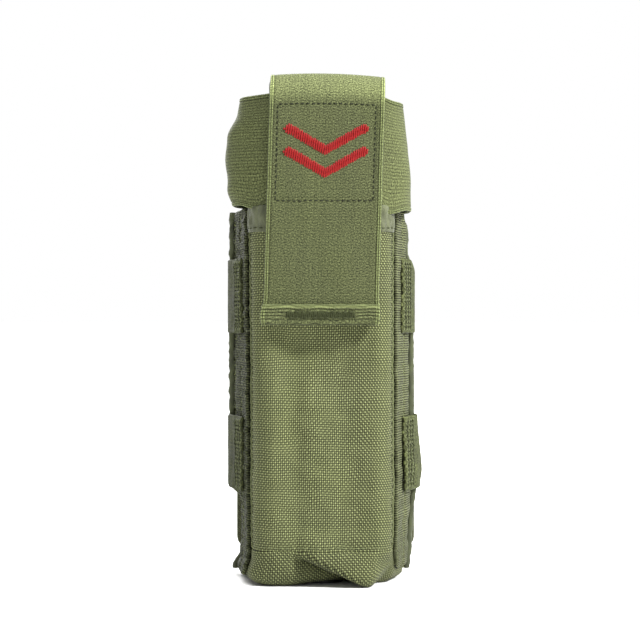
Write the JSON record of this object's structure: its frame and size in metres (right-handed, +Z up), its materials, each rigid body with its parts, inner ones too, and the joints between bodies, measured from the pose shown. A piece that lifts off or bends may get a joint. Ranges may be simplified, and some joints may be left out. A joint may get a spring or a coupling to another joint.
{
  "type": "tourniquet pouch",
  "caption": "Slim olive nylon belt pouch with an elastic ring and fold-over elastic flap that holds a folded windlass tourniquet; webbing rows and snap straps on the back.",
  "frame": {"origin": "middle of the bounding box's footprint, on the plane that the pouch stands on", "axes": "+Z up towards the flap, the pouch faces -Y, +X towards the right of someone who looks at its front"},
  "size_m": [0.0686, 0.0492, 0.1705],
  "materials": {
    "body_cloth": "coarse basket-weave coated nylon",
    "tape": "smooth woven binding tape",
    "webbing": "ribbed nylon webbing",
    "elastic": "finely ribbed woven elastic",
    "green_thread": "dense bonded thread",
    "red_thread": "satin-stitched embroidery thread",
    "fastener_patch": "hook and loop pile",
    "black_metal": "black oxide, satin",
    "black_band": "woven nylon strap",
    "red_tab": "woven nylon, stitched stiff",
    "black_plastic": "moulded, fine grain",
    "grey_band": "woven hook and loop strap"
  },
  "bodies": {
    "pouch": {"front_panel": "body_cloth", "bottom_cap": "body_cloth", "mouth_binding": "tape", "back_panel": "body_cloth", "gusset_left": "body_cloth", "edge_binding_left": "tape", "side_webbing_left": "webbing", "gusset_right": "body_cloth", "edge_binding_right": "tape", "side_webbing_right": "webbing", "back_row_lower": "webbing", "back_row_upper": "webbing", "webbing_tacks": "green_thread", "molle_tabs": "webbing", "snap_studs": "black_metal", "stud_washers": "black_metal", "drain_eyelet": "black_metal", "eyelet_washer": "black_metal", "elastic_ring": "elastic", "loop_patch": "fastener_patch", "flap_riser": "elastic"},
    "flap_top": {"flap_top": "elastic"},
    "flap_front": {"flap_front": "elastic", "hook_patch": "fastener_patch", "embroidered_mark": "red_thread", "hem_tack": "green_thread"},
    "tourniquet": {"tq_band": "black_band", "tq_plate": "black_plastic", "tq_tail_tip": "red_tab", "tq_buckle": "black_plastic", "tq_windlass": "black_plastic", "tq_ribbon": "black_band", "tq_clip": "black_plastic", "tq_retention_strap": "grey_band"},
    "molle_strap_left": {"molle_strap_left": "webbing", "snap_cap_left": "black_metal", "snap_socket_left": "black_metal"},
    "molle_strap_right": {"molle_strap_right": "webbing", "snap_cap_right": "black_metal", "snap_socket_right": "black_metal"}
  },
  "joints": [
    {"name": "flap_open", "type": "hinge", "parent": "pouch", "child": "flap_top", "pos_m": [0, 0.01645, 0.1684], "axis": [-1, 0, 0], "range_deg": [0, 180]},
    {"name": "flap_straighten", "type": "hinge", "parent": "flap_top", "child": "flap_front", "pos_m": [0, -0.01895, 0.1666], "axis": [-1, 0, 0], "range_deg": [0, 108]},
    {"name": "tourniquet_draw", "type": "slide", "parent": "pouch", "child": "tourniquet", "axis": [0, 0, 1], "range_m": [0, 0.061]},
    {"name": "left_strap_swing", "type": "hinge", "parent": "pouch", "child": "molle_strap_left", "pos_m": [-0.01905, 0.02095, 0.112], "axis": [1, 0, 0], "range_deg": [0, 100]},
    {"name": "right_strap_swing", "type": "hinge", "parent": "pouch", "child": "molle_strap_right", "pos_m": [0.01905, 0.02095, 0.112], "axis": [1, 0, 0], "range_deg": [0, 100]}
  ],
  "couplings": [
    {"joint": "flap_straighten", "follows": "flap_open", "ratio": 0.6},
    {"joint": "tourniquet_draw", "follows": "flap_open", "m_per_rad": 0.019}
  ]
}
